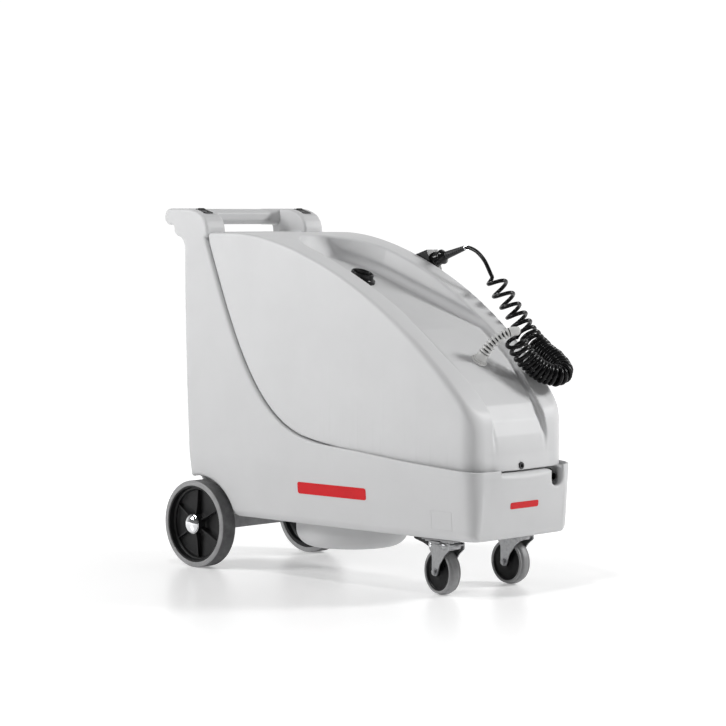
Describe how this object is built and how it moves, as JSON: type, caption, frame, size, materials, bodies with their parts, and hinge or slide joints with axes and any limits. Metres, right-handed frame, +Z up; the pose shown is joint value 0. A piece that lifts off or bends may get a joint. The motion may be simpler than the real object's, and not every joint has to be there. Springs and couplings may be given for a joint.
{
  "type": "spot extractor",
  "caption": "Wheeled spray-extraction cleaner: tip-up recovery tank on a moulded lower body with push handle, rear wheels, swivel casters and a curly power cord.",
  "frame": {"origin": "centre of the footprint's bounding box on the floor, measured without the free cord", "axes": "+Z up, front (casters) towards -Y, push handle towards +Y, wheel axles along X"},
  "size_m": [0.4386, 0.95, 0.8242],
  "materials": {
    "body_plastic": "fine orange-peel rotomoulded polyethylene, light grey",
    "tank_plastic": "fine orange-peel rotomoulded polyethylene, light grey",
    "black_plastic": "satin black moulding",
    "bracket_steel": "zinc plated steel",
    "dark_steel": "dark grey paint",
    "chrome": "polished",
    "grey_rubber": "non-marking grey rubber",
    "black_rubber": "glossy black flexible sheath",
    "motor_grey": "satin",
    "float_white": "natural moulding",
    "red_film": "printed film, blank"
  },
  "bodies": {
    "base": {"base_shell": "body_plastic", "deck_cover": "black_plastic", "handle_bar": "body_plastic", "hinge_brackets": "bracket_steel", "hinge_pins": "bracket_steel", "rest_pads": "black_rubber", "motor_pan": "body_plastic", "vacuum_motor": "motor_grey", "pump": "motor_grey", "front_coupling": "black_plastic", "side_badge": "red_film", "front_badge": "red_film", "switch_bezels": "black_plastic", "axle_beam": "dark_steel", "axle_clamps": "dark_steel", "axle_rod": "bracket_steel", "hub_caps": "chrome", "caster_plates": "dark_steel", "caster_screws": "bracket_steel", "kingpins": "bracket_steel"},
    "tank": {"tank_shell": "tank_plastic", "hose_port": "black_plastic", "float_cage": "float_white", "lock_bush": "black_plastic", "gland_collar": "grey_rubber", "gland_boot": "grey_rubber", "cord_tail": "black_rubber", "cord_coil": "black_rubber", "cord_lead": "black_rubber", "plug_ring": "chrome", "plug_boot": "black_rubber", "plug_body": "black_plastic", "socket_housing": "black_plastic"},
    "float": {"float_ball": "float_white"},
    "lock": {"lock_barrel": "black_plastic"},
    "switch_left": {"rocker_left": "black_plastic"},
    "switch_right": {"rocker_right": "black_plastic"},
    "wheel_left": {"rim_left": "black_plastic", "tyre_left": "grey_rubber"},
    "wheel_right": {"rim_right": "black_plastic", "tyre_right": "grey_rubber"},
    "caster_left": {"fork_left": "bracket_steel", "caster_axle_left": "bracket_steel", "pedal_pin_left": "bracket_steel"},
    "caster_right": {"fork_right": "bracket_steel", "caster_axle_right": "bracket_steel", "pedal_pin_right": "bracket_steel"},
    "pedal_left": {"pedal_left": "black_plastic"},
    "pedal_right": {"pedal_right": "black_plastic"},
    "caster_wheel_left": {"caster_hub_left": "black_plastic", "caster_tread_left": "grey_rubber"},
    "caster_wheel_right": {"caster_hub_right": "black_plastic", "caster_tread_right": "grey_rubber"}
  },
  "joints": [
    {"name": "tank_hinge", "type": "hinge", "parent": "base", "child": "tank", "pos_m": [0, 0.32, 0.758], "axis": [-1, 0, 0], "range_deg": [0, 45]},
    {"name": "float_rise", "type": "slide", "parent": "tank", "child": "float", "axis": [0, 0, 1], "range_m": [0, 0.022]},
    {"name": "lock_turn", "type": "hinge", "parent": "tank", "child": "lock", "pos_m": [-0.005, -0.447, 0.278], "axis": [0, -1, 0], "range_deg": [0, 90]},
    {"name": "rocker_left_tilt", "type": "hinge", "parent": "base", "child": "switch_left", "pos_m": [-0.157, 0.36924, 0.81357], "axis": [-1, 0, 0], "range_deg": [0, 15]},
    {"name": "rocker_right_tilt", "type": "hinge", "parent": "base", "child": "switch_right", "pos_m": [0.157, 0.36924, 0.81357], "axis": [-1, 0, 0], "range_deg": [0, 15]},
    {"name": "wheel_left_spin", "type": "hinge", "parent": "base", "child": "wheel_left", "pos_m": [-0.181, 0.36, 0.1], "axis": [1, 0, 0], "continuous": true},
    {"name": "wheel_right_spin", "type": "hinge", "parent": "base", "child": "wheel_right", "pos_m": [0.181, 0.36, 0.1], "axis": [1, 0, 0], "continuous": true},
    {"name": "caster_left_swivel", "type": "hinge", "parent": "base", "child": "caster_left", "pos_m": [-0.112, -0.356, 0.11], "axis": [0, 0, 1], "continuous": true},
    {"name": "caster_right_swivel", "type": "hinge", "parent": "base", "child": "caster_right", "pos_m": [0.112, -0.356, 0.11], "axis": [0, 0, 1], "continuous": true},
    {"name": "pedal_left_press", "type": "hinge", "parent": "caster_left", "child": "pedal_left", "pos_m": [-0.1036, -0.31281, 0.1065], "axis": [-0.9816, 0.1908, 0], "range_deg": [0, 8]},
    {"name": "pedal_right_press", "type": "hinge", "parent": "caster_right", "child": "pedal_right", "pos_m": [0.11583, -0.31217, 0.1065], "axis": [-0.9962, 0.0872, 0], "range_deg": [0, 8]},
    {"name": "caster_left_spin", "type": "hinge", "parent": "caster_left", "child": "caster_wheel_left", "pos_m": [-0.10666, -0.32851, 0.05], "axis": [0.9816, -0.1908, 0], "continuous": true},
    {"name": "caster_right_spin", "type": "hinge", "parent": "caster_right", "child": "caster_wheel_right", "pos_m": [0.11444, -0.32811, 0.05], "axis": [0.9962, -0.0872, 0], "continuous": true}
  ]
}
